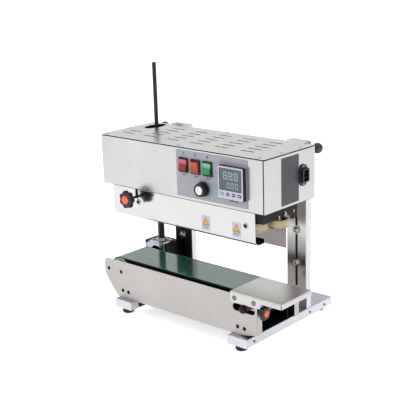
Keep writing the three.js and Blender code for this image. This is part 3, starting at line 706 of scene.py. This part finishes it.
# --- gear bracket and shaft bearing ---
# A black-painted steel box stands on the rear side plate round the gears, open at its arch. A
# plated flange bearing is bolted to its top and holds the shaft.
def eased(name, node, width, paint, body="head"):
    """A finished copy of a node: its flat faces are made whole and its edges are rounded over
    the width in millimetres."""
    points, faces = triangles_of(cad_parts[node].data)
    made = build(name, [(points * 1000 - DATUM, faces)], paint, body, [node])
    work = bmesh.new()
    work.from_mesh(made.data)
    bmesh.ops.dissolve_limit(work, angle_limit=0.01, verts=work.verts, edges=work.edges)
    work.to_mesh(made.data)
    work.free()
    made.modifiers.clear()
    round_over = made.modifiers.new("eased_edges", "BEVEL")
    round_over.width, round_over.segments, round_over.limit_method = width / 1000, 2, "ANGLE"
    round_over.angle_limit, round_over.harden_normals = np.radians(32), False
    made.modifiers.new("level_faces", "WEIGHTED_NORMAL").keep_sharp = True


def hex_head(axis, spot, face, outward, across=4.6, tall=3.2):
    """A six-sided bolt head on a thin washer, chamfered by a smaller last ring."""
    size = np.array([1, 1, 0.86])[:, None, None] * across
    depth = face + outward * np.array([0.6, tall - 0.5, tall])[:, None]
    washer = turned(axis, spot, [(across * 1.35, face), (across * 1.35, face + outward * 0.8),
                                 (0.3, face + outward * 0.8)], 28)
    return [skin(place(axis, circle(6)[None] * size + np.array(spot), depth)), washer]


eased("gear_bracket", "gearbox_bracket", 0.7, black_coat, "base")
zinc = finish("zinc_plate", "polished", ("6e7178", "b9bcc4", 70, 4), (0.08, (0.2, 90, 3)), 1.0,
              (0.5, 0.0015, 60, 2))
eased("shaft_bearing", "bearing_housing", 0.6, zinc, "base")
low, high = box("bearing_housing")
build("bearing_bolts", [part for spot in ((-247, 11), (-212, 29))
                        for part in hex_head("z", spot, high[2] - 7, 1, 3.6)], nickel, "base")

# --- head casing ---
# Satin stainless sheets folded into a box and closed by end plates that stand a hair's breadth
# off the front, so a dark line runs down the corner. A black gasket strip lies inside the joint.
low, high = box("head_casing")
head_low, head_high = box("head_cover")
COLOURS = ("red", "orange", "green")


def rocker_hole(name, across, up, radius):
    """The outline of a switch's opening, from half its width and half its height."""
    middle = sum(box(f"rocker_bezel_{name}")) / 2
    return rectangle(middle[0] - across, middle[0] + across, middle[2] - up, middle[2] + up,
                     radius)


openings = [rocker_hole(name, 11.2, 13.9, 0.8) for name in COLOURS]
JOINT = 0.7
top, foot = high[2] - SHEET, low[2] + 0.8
long_side = rectangle(low[0], high[0] - 3.8, foot, top, 0.5)
build("head_wrap", [
    sheet("y", low[1], low[1] + SHEET, long_side, 0.35, openings),
    sheet("y", high[1] - SHEET, high[1], long_side, 0.35),
    sheet("z", low[2], low[2] + SHEET,
          rectangle(low[0] + SHEET, high[0] - SHEET - 0.2, low[1] + SHEET, high[1] - SHEET, 0.5),
          0.3, [bore(*centre, 15, 40)])], stainless, "head", ["head_casing"])
build("head_ends", [
    sheet("x", high[0] - SHEET, high[0],
          rectangle(low[1] + JOINT, high[1] - 0.4, foot, top, 0.6), 0.35),
    sheet("x", low[0], low[0] + SHEET,
          rectangle(low[1] + SHEET + 0.1, high[1] - SHEET - 0.1, low[2] + 0.2, top, 0.6), 0.35)],
    stainless)
gasket_hole = rectangle(low[0] + 6, high[0] - 6.6, low[1] + 6, high[1] - 6, 1)
build("head_gasket", [
    sheet("z", top - 3, head_low[2] - 0.1,
          rectangle(low[0] + 2.6, high[0] - 3.2, low[1] + 2.6, high[1] - 2.6, 1), 0.2,
          [gasket_hole]),
    sheet("z", low[2] - 0.1, low[2] + 1.6,
          rectangle(low[0] + 1.2, high[0] - 1, low[1] + 0.8, high[1] - 1, 1), 0.2,
          [gasket_hole]),
    solid("z", rectangle(high[0] - 6, high[0] - 1.7, low[1] + 0.9, low[1] + 5, 0.5), low[2] + 2,
          top - 4, 0.3)], rubber)

# --- cover ---
# A separate mirror-polished lid with rows of punched cooling slots and an oval opening for the
# shaft lies on a dark film. Cross-head screws hold it down round its edge, and a black card
# below lines the opening.
lid = finish("lid_stainless", "polished", ("dcdcdb", "e6e6e5", 5, 4),
             (0.2, (0.1, 90, 2, (1, 25, 1)), (0.1, 5, 4)), 1.0)
LID_TOP, LID_SHEET = head_high[2], 0.6
slots = [stadium(-159 + column * 73.5, -71 + row * 25, 38.6, 5.2)
         for row in range(5) for column in range(-1 if row < 2 else 0, 5)]
oval = (centre[0] - 5, centre[1]) + (18, 33) * circle(64)
build("cover_lid", [sheet("z", LID_TOP - LID_SHEET, LID_TOP,
                          face_of("z", head_low, head_high, 1), 0.12, [*slots, oval])],
      lid, "head", ["head_cover"])
build("cover_film", [sheet("z", head_low[2], LID_TOP - LID_SHEET - 0.02,
                           face_of("z", head_low, head_high, 1, 1), 0.05, [*slots, oval])],
      rubber)
build("lining_card", [sheet("z", head_low[2] - 3.6, head_low[2] - 3.1, gasket_hole, 0.1,
                            [oval])], black_coat)
lid_screws = [(-268, -107), (-31, -110), (198, -110), (-270, -28), (207, -46), (208, 20),
              (-30, 58), (194, 58)]
build("lid_screws", [cross_head("z", spot, LID_TOP, 1, 3.6) for spot in lid_screws], cross_screw)

# --- drive motor ---
# A can motor with a cast gear case lies inside the head behind the controls, painted black.
eased("motor_body", "drive_motor", 1.2, black_coat)

# --- nameplate ---
# A printed foil plate, charcoal grey with a paler border and blank ruled fields, is stuck to
# the end of the head.
foil = finish("charcoal_foil", "label", ("2a2a31", "37373f", 160, 3, (1, 1, 0.2)),
              (0.38, (0.12, 80)))
pale_ink = finish("pale_print", "label", ("494952", "565660", 900), 0.5)
end_face, INK = high[0], 0.03
plate_ink = (end_face + 0.5, end_face + 0.66)
build("nameplate", [solid("x", rectangle(-58, 4, 315, 420, 0.8), end_face + 0.05,
                          end_face + 0.55, 0.15)], foil)
border = sheet("x", *plate_ink, rectangle(-56, 2, 317, 418, 0.6), INK,
               [rectangle(-55.4, 1.4, 317.6, 417.4, 0.5)])
rules = [solid("x", rectangle(y, y + 0.6, from_z, to_z, 0.2), *plate_ink, INK)
         for y in range(-52, -7, 11) for from_z, to_z in ((321, 361), (368, 414))]
build("nameplate_print", [border, *rules], pale_ink)

# --- guards ---
# Folded stainless guards hang from the head in front of and behind the sealing bands. The
# front one turns under and up again, with its lower corner rounded off.
guard_steel = finish("guard_stainless", "stainless", ("b9b8b7", "c7c6c5", 9, 3),
                     (0.11, (0.08, 60, 2, (1, 30, 30))), 1.0)
# The rear guard's stainless has a dark brownish grey base colour: painted shade for the dark it
# mirrors under the head.
rear_steel_painted_shade = finish("rear_guard_stainless_painted_shade", "stainless", ("827a79", "968e8d", 9, 3),
                    (0.34, (0.12, 50, 2, (1, 25, 25))), 1.0)
eased("band_guard_front", "front_guard", 0.4, guard_steel)
eased("band_guard_rear", "rear_guard", 0.4, rear_steel_painted_shade)
guard_face = box("front_guard")[0][1]
GUARD_SCREWS = ((-162, 278), (163, 278))
washer = [(0.3, guard_face), (7.4, guard_face), (7.4, guard_face - 0.7), (6.8, guard_face - 1),
          (0.3, guard_face - 1)]
build("guard_washers", [turned("y", spot, washer, 32) for spot in GUARD_SCREWS], nickel)
build("guard_screws", [cross_head("y", spot, guard_face - 1, -1, 4.4) for spot in GUARD_SCREWS],
      black_screw)

# --- caution labels ---
# Two small printed stickers on the front guard: a pale lavender card with a plain amber triangle
# in a dark edge, above two ruled lines.
card = finish("label_card", "label", ("adacbe", "bbbacb", 200, 3), 0.5)
amber = finish("label_amber", "label", ("c79119", "d8a429", 200, 3), 0.45)
ink = finish("dark_print", "label", ("2b2b33", "3d3d46", 700), 0.5)
label_print = (guard_face - 0.5, guard_face - 0.34)


def triangle(a, b, size):
    """An upright triangle's outline with small rounded corners."""
    return rounded([(a - size, b - size * 0.8), (a + size, b - size * 0.8), (a, b + size * 0.95)],
                   size * 0.12)


for number, x in enumerate((50, 138)):
    build(f"label_card_{number}", [solid("y", rectangle(x - 12, x + 12, 248, 281, 0.8),
                                         guard_face - 0.35, guard_face - 0.05, 0.05)],
          card)
    build(f"label_edge_{number}", [
        sheet("y", *label_print, triangle(x, 268, 10.2), INK, [triangle(x, 267.8, 8.3)]),
        solid("y", rectangle(x - 9, x + 9, 256, 257, 0.2), *label_print, INK),
        solid("y", rectangle(x - 9, x + 6, 252.4, 253.4, 0.2), *label_print, INK)], ink)
    build(f"label_triangle_{number}", [solid("y", triangle(x, 267.8, 8.6), guard_face - 0.45,
                                             label_print[1], INK)], amber)

# --- end bracket ---
# A black steel plate under the head's table end carries the wheel axles. A bolt on a broad
# washer and two bright set screws clamp it.
eased("axle_bracket", "end_bracket", 0.4, black_coat)
low, high = box("end_bracket")
build("axle_bracket_bolts", [
    part for spot, across, tall in (((-36, 293), 3.8, 3), ((-58, 291), 2.2, 1.8),
                                    ((-5, 293), 2.2, 1.8))
    for part in hex_head("x", spot, high[0], 1, across, tall)], nickel)

# --- sealing wheels and bands ---
# Turned bronze-coloured wheels with flanges drive two woven glass bands coated in pale PTFE,
# which pinch the bag's mouth between them.
wheel_metal = finish("wheel_bronze", "band_brown", ("95846a", "b9a98f", 70, 3),
                     (0.18, (0.25, 60, 2, (1, 1, 12))), 1.0)
ptfe = finish("ptfe_band", "band_brown", None, (0.3, (0.2, 60, 3)))
THREADS = 5200
sockets, at = wires(ptfe)
across, along, height = at.axes()
weave = (across.maths("SINE", across * THREADS, 0.0)
         * height.maths("SINE", height * THREADS, 0.0))
plug(sockets["Base Color"], (at.noise(40, 3, (1, 1, 6)) + weave * 0.12).mix("97876c", "b5a689"))
plug(sockets["Normal"], weave.relief(0.3, 0.0001))
for row in ("front", "rear"):
    low, high = box(f"seal_band_{row}")
    under, over = low[2] - 1, high[2] + 1
    for side in SIDES:
        name = f"seal_wheel_{row}_{side}"
        wheel_low, wheel_high = box(name)
        spot, cap = ((wheel_low + wheel_high) / 2)[:2], wheel_high[2]
        build(f"{name}_turned", [lathed("z", spot, [
            (0.3, under - 3), (5, under - 3), (5, under + 1.5), (15, under + 1.5),
            (16.5, under - 1.1), (22.4, under - 1.1), (22.4, under + 0.2), (21.5, under + 0.4),
            (21.5, over - 0.4), (22.4, over - 0.2), (22.4, over + 1.1), (16.5, over + 1.1),
            (15, over - 1.5), (7.5, over - 1.5), (6, over + 3), (6, cap), (0.3, cap)],
            [0.1, 0.5, 0.8, 0.8, 0.5, 0.3, 0.3, 0.1, 0.1, 0.3, 0.3, 0.5, 0.8, 0.8, 1.5, 0.1,
             0.1], 72)], wheel_metal, name, [name])
        build(f"{name}_nut", hex_head("z", spot, under - 2.4, -1, 4.4, 3), black_screw, name)
    build(f"band_{row}", [endless("z", low, high, [
        (low[2], 0), (high[2], 0), (high[2], 0.8), (low[2], 0.8)], 0.25)],
        ptfe, "head", [f"seal_band_{row}"])

# --- heater and cooler ---
# Blocks in two halves press on the bands: a brass one with heaters in it, then a finned
# aluminium one that cools the seam.
brass = finish("brass", "brass", ("a5833f", "c9a661", 60, 3), (0.22, (0.25, 50, 3)), 1.0)
eased("heater_jaws", "heater_block", 0.6, brass)
FIN_PITCH = 6.5
low, high = box("cooling_block")
fins = [solid("x", rectangle(face - 2.2, face + 2.2, 268, 304, 0.6), x, x + 2, 0.4)
        for x in np.arange(low[0] + 4, high[0] - 5, FIN_PITCH)
        for face in (low[1] - 1.6, high[1] + 1.6)]
eased("cooling_jaws", "cooling_block", 0.6, anodised)
build("cooling_fins", fins, anodised)

# --- control panel ---
# An aluminium plate printed lavender grey is glued to the head's face. Its marks are printed
# dark: a sign above each switch, a ruled line below it and a scale round the speed knob.
panel_grey = finish("panel_print", "panel_grey", ("8f8f98", "9a9aa3", 120, 3),
                    (0.42, (0.12, 300, 2)), 0.0, (0.08, 0.00008, 1800, 2))
low, high = box("control_panel")
panel_face = low[1]
build("panel_plate", [sheet("y", low[1], high[1], face_of("y", low, high, 1.6), 0.12,
                            openings)], panel_grey, "head", ["control_panel"])
speed_low, speed_high = box("speed_knob")
speed_at = ((speed_low + speed_high) / 2)[[0, 2]]


def printed(outline, holes=()):
    """A mark as a thin layer of ink on the panel."""
    return sheet("y", panel_face - 0.18, panel_face - 0.05, outline, 0.02, holes)


def bar(x, half, z0, z1, radius=0.1):
    """A printed bar that reaches half its width to each side of x."""
    return printed(rectangle(x - half, x + half, z0, z1, radius))


SIGN_Z, DIAL_SWEEP = 415, 135
sign_x = [sum(box(f"rocker_bezel_{name}"))[0] / 2 for name in COLOURS]
marks = [printed(bore(sign_x[0], SIGN_Z, 2.9, 28), [bore(sign_x[0], SIGN_Z, 2.1, 28)]),
         bar(sign_x[0], 0.4, SIGN_Z, 419.2), bar(sign_x[1], 2.6, 412.4, 413.3),
         *[bar(sign_x[1] + way, 0.4, 414.3, 418.4) for way in (-2, 0, 2)],
         printed(lobes(sign_x[2], 415.2, 3.2, 4, 0.28), [bore(sign_x[2], 415.2, 0.8)]),
         bar(134, 12, 326.6, 328.6, 0.4)]
marks += [bar(x, 6.5, 366.6, 368.2, 0.4) for x in sign_x]
marks += [printed(bore(*(speed_at + 21.5 * np.array([np.sin(turn), np.cos(turn)])),
                       0.55 + 0.05 * number, 12))
          for number, turn in enumerate(np.radians(np.arange(-DIAL_SWEEP, DIAL_SWEEP + 1, 27)))]
sweep = np.radians(np.linspace(-DIAL_SWEEP, DIAL_SWEEP, 60))
arc = np.column_stack([np.sin(sweep), np.cos(sweep)])
marks.append(printed(np.vstack([speed_at + 19.3 * arc, speed_at + 18.9 * arc[::-1]])))
build("panel_marks", marks, ink)
build("panel_keyline", [printed(rectangle(95.5, 170.6, 332.4, 411.6, 1.6),
                                [rectangle(96.1, 170, 333, 411, 1.4)])], pale_ink)

# --- rocker switches ---
# Snap-in switches: a black bezel with a deep edge round a see-through coloured rocker that is
# thrown to one side, with a painted highlight in its upper half: a paler colour where the tilted
# face catches the light.
HIGHLIGHT_FROM, HIGHLIGHT_TO = 0.388, 0.399
for name, deep, highlighted in zip(COLOURS, ("86081a", "9c3414", "037a40"),
                               ("c8586c", "ad4522", "63b593")):
    lens = finish(f"rocker_{name}_plastic", name, None, (0.18, (0.12, 400, 2)),
                  Specular_IOR_Level=0.35)
    sockets, at = wires(lens)
    height = at.axes()[2]
    # The paler colour above this height is a painted highlight.
    highlight_mask = height.node("ShaderNodeMapRange", {"interpolation_type": "SMOOTHSTEP"},
                       {0: height, 1: HIGHLIGHT_FROM, 2: HIGHLIGHT_TO})
    plug(sockets["Base Color"], (highlight_mask * 0.9 + at.noise(200, 2) * 0.1).mix(deep, highlighted))
    plug(sockets["Coat Weight"], at.noise(90) * 0.1)
    low, high = box(f"rocker_bezel_{name}")
    build(f"rocker_frame_{name}", [
        sheet("y", low[1], high[1], face_of("y", low, high, 2), 0.6,
              [rocker_hole(name, 11.2, 13.9, 0.8)]),
        sheet("y", high[1], high[1] + 12, rocker_hole(name, 11.15, 13.85, 0.7), 0.05,
              [rocker_hole(name, 10.85, 13.5, 0.6)])],
        black_plastic, "head", [f"rocker_bezel_{name}"])
    eased(f"rocker_lens_{name}", f"rocker_{name}", 0.7, lens, f"rocker_{name}")

# --- speed knob ---
# A fluted black knob with a raised skirt and a white cap let into its face, which has a fine
# black pointer line. It turns a potentiometer behind the panel.
white_cap = finish("white_cap", "button_grey", ("e4e4e6", "efeff0", 150, 2), (0.22, (0.14, 400)))
face, root = speed_low[1], speed_high[1]
flutes = lobes(*speed_at, 15.4, 28, 0.035, 8)
skirt = [(0.3, root), (16.9, root), (17, root - 2.4), (15.6, root - 3.4), (0.3, root - 3.4)]
rim = [(9.9, face + 2.2), (9.9, face + 1), (10.6, face + 0.4), (14, face + 0.4),
       (15, face + 2.2)]
build("speed_knob_body", [solid("y", flutes, face + 1.4, root - 3, 1, 4),
                          lathed("y", speed_at, skirt, [0.1, 0.4, 0.6, 0.4, 0.1], 64),
                          turned("y", speed_at, rim, 64, loop=True)],
      black_plastic, "speed_knob", ["speed_knob"])
build("speed_knob_cap", [lathed("y", speed_at, [
    (0.3, face + 2), (9.6, face + 2), (9.6, face + 0.5), (8, face), (0.3, face)],
    [0.1, 0.1, 0.5, 1, 0.1], 56)], white_cap, "speed_knob")
pointer = rectangle(speed_at[0] - 0.5, speed_at[0] + 0.5, speed_at[1] + 2.6, speed_at[1] + 9, 0.2)
build("speed_knob_pointer", [solid("y", pointer, face - 0.12, face + 0.3, 0.04)], ink,
      "speed_knob")

# --- temperature controller ---
# A panel instrument in a black case. A pale bezel frames a dark tinted window with two rows of
# seven-segment digits, above a strip with one green key and three dark ones.
low, high = box("temperature_controller")
eased("controller_case", "temperature_controller", 0.7, black_plastic)
bezel_pale = finish("bezel_pale_plastic", "button_grey", ("acacbc", "b9b9c8", 150, 3),
                    (0.33, (0.14, 600, 2)))
keys = [box(f"button_{number}") for number in (1, 2, 3, 4)]
key_holes = [face_of("y", *key, 0.8, -0.4) for key in keys]
window = rectangle(low[0] + 4, high[0] - 4, low[2] + 19, high[2] - 4.2, 1)
build("controller_bezel", [sheet("y", low[1] - 0.75, low[1] - 0.05,
                                 face_of("y", low, high, 1.5, 0.6), 0.25,
                                 [window, *key_holes])], bezel_pale)
glass = finish("tinted_window", "display", ("38414e", "444e5c", 40, 2), (0.08, (0.1, 60)),
               Specular_IOR_Level=0.6)
build("controller_window", [solid("y", rectangle(
    low[0] + 3.7, high[0] - 3.7, low[2] + 18.7, high[2] - 3.9, 0.6), low[1] + 0.35,
    low[1] + 1.1, 0.1)], glass)
segment_glow = finish("lit_segments", "display", ("7c9b92", "90aea5", 300), 0.4,
                      Emission_Strength=0.1)
sockets, at = wires(segment_glow)
plug(sockets["Emission Color"], at.noise(300).mix("8fb3a6", "a9cbbe"))


def digit(left, base, tall, wide, missing=()):
    """A seven-segment figure: three level bars and four upright ones round a grid."""
    thick, middle = tall * 0.11, base + tall / 2
    level = [(left + thick, left + wide - thick, at_z - thick / 2, at_z + thick / 2)
             for at_z in (base + thick / 2, middle, base + tall - thick / 2)]
    upright = [(at_x, at_x + thick, from_z + thick * 0.3, from_z + tall / 2 - thick * 0.3)
               for at_x in (left, left + wide - thick) for from_z in (base, middle)]
    return [solid("y", rectangle(*segment, thick * 0.3, 2), low[1] + 0.22, low[1] + 0.34, 0.02)
            for number, segment in enumerate(level + upright) if number not in missing]


figures = []
for row_x, row_z, pitch, tall, wide, missing in ((15.5, 43, 14.6, 17, 10.4, ()),
                                                 (25, 24.5, 11.2, 12.5, 7.8, (1,))):
    for number in range(3):
        figures += digit(low[0] + row_x + number * pitch, low[2] + row_z, tall, wide, missing)
build("controller_figures", figures, segment_glow)
key_green = finish("key_green", "button_green", ("38916a", "4aa97b", 300), 0.45)
key_dark = finish("key_dark", "button_grey", ("343843", "434855", 300), 0.45)
KEY_SIGNS = ([(-2.4, -0.5), (2.4, -0.5), (2.4, 0.5), (-2.4, 0.5)],
             [(1.3, -1.7), (1.3, 1.7), (-1.7, 0)],
             [(-1.8, 1.1), (0, -1.6), (1.8, 1.1)],
             [(-1.8, -1.1), (1.8, -1.1), (0, 1.6)])
for number, ((low, high), sign) in enumerate(zip(keys, KEY_SIGNS), 1):
    name = f"button_{number}"
    build(f"{name}_key", [solid("y", face_of("y", low, high, 1.1), low[1], high[1], 0.5)],
          key_green if number == 1 else key_dark, name, [name])
    outline = rounded(((low + high) / 2)[[0, 2]] + sign, 0.15, 2)
    build(f"{name}_sign", [solid("y", outline, low[1] - 0.1, low[1] + 0.1, 0.02)], white_cap,
          name, slot="label")

# --- mains inlet ---
# A moulded appliance inlet with three flat pins, held to the end of the head by two screws
# through its lugs.
eased("inlet_body", "power_inlet", 0.5, black_plastic)
low, high = box("power_inlet")
inlet_y, inlet_z = ((low + high) / 2)[1:]
pins = [solid("x", rectangle(inlet_y + across - 0.9, inlet_y + across + 0.9,
                             inlet_z + rise - 2.6, inlet_z + rise + 2.6, 0.4),
              low[0] + 0.6, high[0] - 2, 0.4)
        for across, rise in ((-4.2, -4.4), (4.2, -4.4), (0, 4.4))]
build("inlet_pins", pins, oxide, "head", slot="steel")
LUG_REACH = 19.5
build("inlet_screws", [cross_head("x", (inlet_y, inlet_z + way * LUG_REACH), low[0] + 3, 1, 2.9)
                       for way in (-1, 1)], cross_screw)

# --- pressure knob ---
# A moulded seven-lobed hand knob with an orange cap, on a thin black screw that runs through
# the front guard and sets how hard the bands are pressed together.
PRESSURE_SPOT = (-166.5, 290.5)
low, high = box("pressure_knob")
face, tip = low[1], high[1]
build("pressure_star", [
    solid("y", lobes(*PRESSURE_SPOT, 21.5, 7, 0.1, 14), face + 1.4, face + 14, 3.6, 6),
    lathed("y", PRESSURE_SPOT, [(0.3, face + 13), (9, face + 13), (8.4, face + 18),
                                (0.3, face + 18)], [0.1, 0.1, 1, 0.1], 40)],
    black_plastic, "pressure_knob", ["pressure_knob"])
build("pressure_screw", [turned("y", PRESSURE_SPOT, [
    (0.3, face + 17), (3, face + 17), (3, tip - 0.6), (2.4, tip), (0.3, tip)], 24)],
    oxide, "pressure_knob")
build("pressure_cap", [lathed("y", PRESSURE_SPOT, [
    (0.3, face + 2), (9.8, face + 2), (9.8, face + 0.8), (8, face), (0.3, face)],
    [0.1, 0.1, 0.6, 1.6, 0.1])], cap_orange, "pressure_knob")

# --- ball knobs ---
# Glossy black phenolic balls on short necks clamp the head to its posts from behind.
phenolic = finish("phenolic_black", "black_plastic", ("060608", "101013", 40, 3),
                  (0.05, (0.12, 90, 3)), Specular_IOR_Level=0.7)
BALL = 12.4
climb = np.linspace(np.radians(162), 0.02, 20)
for side in SIDES:
    knob = f"ball_knob_{side}"
    low, high = box(knob)
    ball = np.column_stack([BALL * np.sin(climb), high[1] - BALL + BALL * np.cos(climb)])
    neck = [(0.3, low[1]), (6.9, low[1]), (7, low[1] + 1), (5, low[1] + 5)]
    build(f"ball_{side}", [turned("y", ((low + high) / 2)[[0, 2]], [*neck, *ball])], phenolic,
          knob, [knob])
